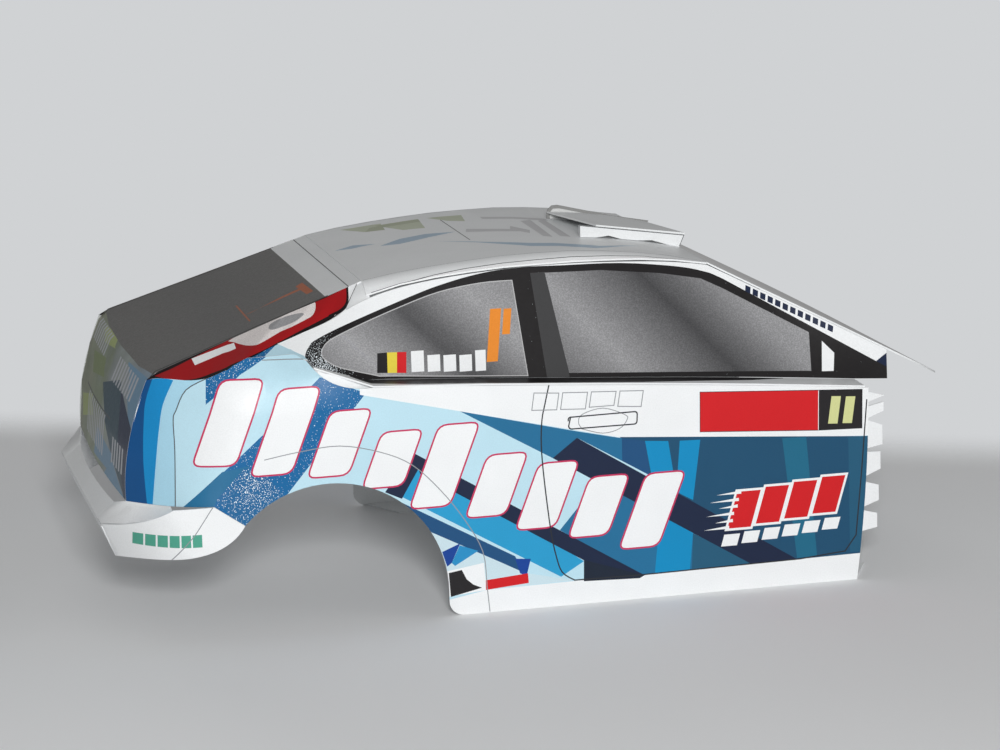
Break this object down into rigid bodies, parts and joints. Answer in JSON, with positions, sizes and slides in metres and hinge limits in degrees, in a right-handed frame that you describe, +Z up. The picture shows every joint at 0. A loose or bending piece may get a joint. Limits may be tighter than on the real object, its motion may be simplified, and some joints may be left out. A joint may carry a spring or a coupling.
{
  "type": "paper model of a rally car body shell",
  "caption": "Half-built paper model of a three-door rally car body: side, window, roof, tail and windscreen sheets, open underneath and at the front.",
  "frame": {"origin": "on the floor under the middle of the model's length and width", "axes": "+X forwards to the windscreen's free edge, +Y to the car's left, +Z up"},
  "size_m": [0.1366, 0.075, 0.0539],
  "materials": {
    "white_paper": "plain white",
    "printed_side_paper": "glossy print on white paper",
    "printed_window_paper": "glossy print on white paper",
    "printed_lamp_paper": "glossy print on white paper",
    "printed_roof_paper": "glossy print on white paper",
    "printed_glass_paper": "glossy print on white paper",
    "printed_tail_paper": "glossy print on white paper"
  },
  "bodies": {
    "root": {"side_panel_right": "printed_side_paper", "side_panel_left": "printed_side_paper", "shoulder_strip_right": "white_paper", "shoulder_strip_left": "white_paper", "window_panel_right": "printed_window_paper", "window_panel_left": "printed_window_paper", "tail_lamp_flap_right": "printed_lamp_paper", "tail_lamp_flap_left": "printed_lamp_paper", "bumper_side_right": "white_paper", "bumper_side_left": "white_paper", "bumper_corner_flap_right": "white_paper", "bumper_corner_flap_left": "white_paper", "sill_flap_right": "white_paper", "sill_flap_left": "white_paper", "front_tab_strip_right": "white_paper", "front_tab_strip_left": "white_paper", "scoop_wall_right": "white_paper", "scoop_wall_left": "white_paper", "roof_glue_strip_right": "white_paper", "roof_glue_strip_left": "white_paper", "belt_glue_strip_right": "white_paper", "belt_glue_strip_left": "white_paper", "roof_panel": "printed_roof_paper", "windscreen_panel": "printed_glass_paper", "tailgate_panel": "printed_tail_paper", "bumper_ledge": "white_paper", "bumper_rear": "white_paper", "scoop_top": "printed_roof_paper", "tailgate_seam_strip": "white_paper", "header_glue_strip": "white_paper"}
  },
  "joints": []
}
